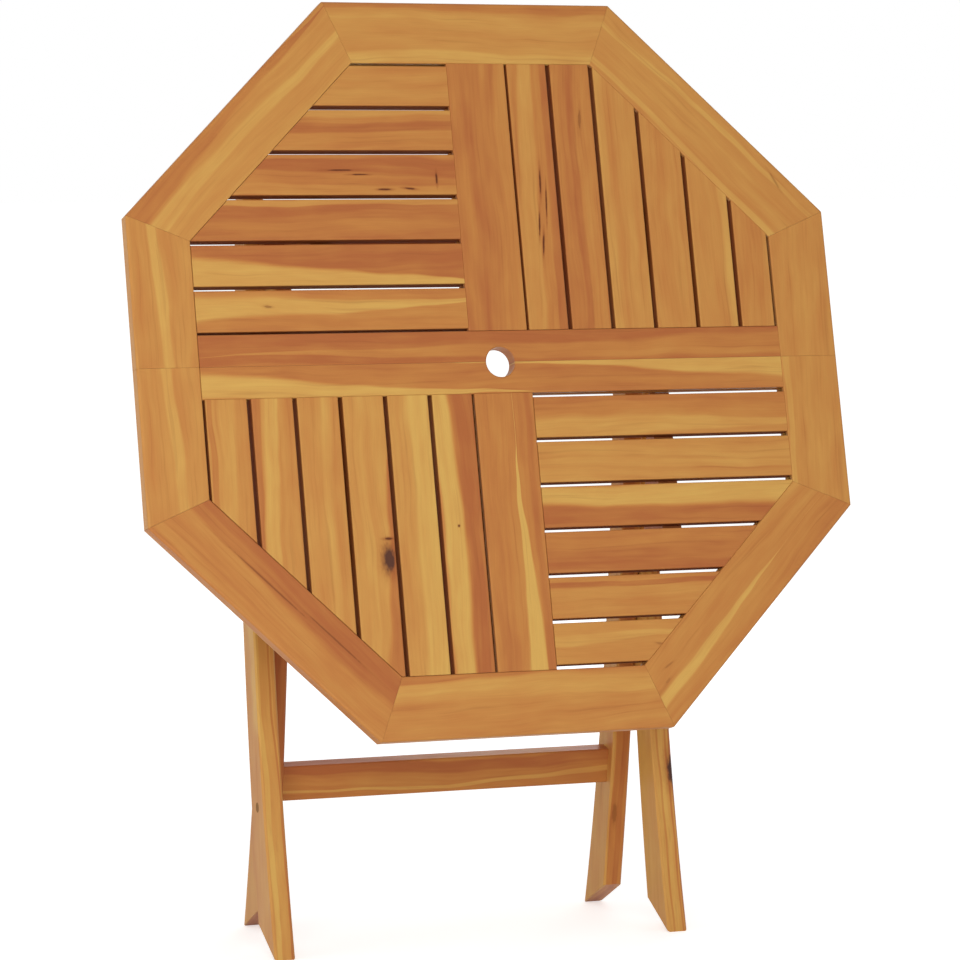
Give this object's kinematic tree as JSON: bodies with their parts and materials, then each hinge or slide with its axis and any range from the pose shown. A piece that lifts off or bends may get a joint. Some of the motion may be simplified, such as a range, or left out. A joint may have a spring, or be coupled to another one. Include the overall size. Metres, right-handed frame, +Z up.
{
  "type": "folding garden table",
  "caption": "Octagonal slatted wooden folding table on scissor legs, with a parasol hole, standing folded with its top tilted up.",
  "frame": {"origin": "on the floor, in the middle of the folded table's length and width", "axes": "+Z up, +X to the right as seen from the front, where the top's face looks, and +Y to the back"},
  "size_m": [0.8, 0.3361, 1.0273],
  "materials": {
    "top_wood": "satin oiled hardwood",
    "leg_wood": "satin oiled hardwood",
    "dark_plug": "dark wooden plug",
    "steel": "zinc plated"
  },
  "bodies": {
    "outer_frame": {"crossing_bolts": "steel", "crossing_nuts": "steel", "crossing_washers": "steel", "hinge_bar": "leg_wood", "leg_plugs": "dark_plug", "outer_leg_left": "leg_wood", "outer_leg_right": "leg_wood"},
    "inner_frame": {"catch_rail": "leg_wood", "inner_leg_left": "leg_wood", "inner_leg_right": "leg_wood", "stretcher": "leg_wood", "stretcher_dowels": "leg_wood"},
    "top": {"batten_left": "top_wood", "batten_right": "top_wood", "border_front": "top_wood", "border_front_left": "top_wood", "border_front_right": "top_wood", "border_left_front": "top_wood", "border_left_rear": "top_wood", "border_rear": "top_wood", "border_rear_left": "top_wood", "border_rear_right": "top_wood", "border_right_front": "top_wood", "border_right_rear": "top_wood", "catch_block_left": "top_wood", "catch_block_right": "top_wood", "centre_rail_front": "top_wood", "centre_rail_rear": "top_wood", "hinge_cleat_left": "top_wood", "hinge_cleat_right": "top_wood", "mullion_front": "top_wood", "mullion_rear": "top_wood", "seam_dowels": "top_wood", "slat_front_left_1": "top_wood", "slat_front_left_2": "top_wood", "slat_front_left_3": "top_wood", "slat_front_left_4": "top_wood", "slat_front_left_5": "top_wood", "slat_front_left_6": "top_wood", "slat_front_right_1": "top_wood", "slat_front_right_2": "top_wood", "slat_front_right_3": "top_wood", "slat_front_right_4": "top_wood", "slat_front_right_5": "top_wood", "slat_front_right_6": "top_wood", "slat_rear_left_1": "top_wood", "slat_rear_left_2": "top_wood", "slat_rear_left_3": "top_wood", "slat_rear_left_4": "top_wood", "slat_rear_left_5": "top_wood", "slat_rear_left_6": "top_wood", "slat_rear_right_1": "top_wood", "slat_rear_right_2": "top_wood", "slat_rear_right_3": "top_wood", "slat_rear_right_4": "top_wood", "slat_rear_right_5": "top_wood", "slat_rear_right_6": "top_wood", "top_screws": "steel"}
  },
  "joints": [
    {"name": "leg_spread", "type": "hinge", "parent": "outer_frame", "child": "inner_frame", "pos_m": [0, 0.07491, 0.428], "axis": [1, 0, 0], "range_deg": [0, 52.01]},
    {"name": "top_tilt", "type": "hinge", "parent": "outer_frame", "child": "top", "pos_m": [0, 0.09121, 0.76916], "axis": [-1, 0, 0], "range_deg": [0, 50.21]}
  ],
  "couplings": [
    {"joint": "top_tilt", "follows": "leg_spread", "ratio": 0.9652}
  ]
}
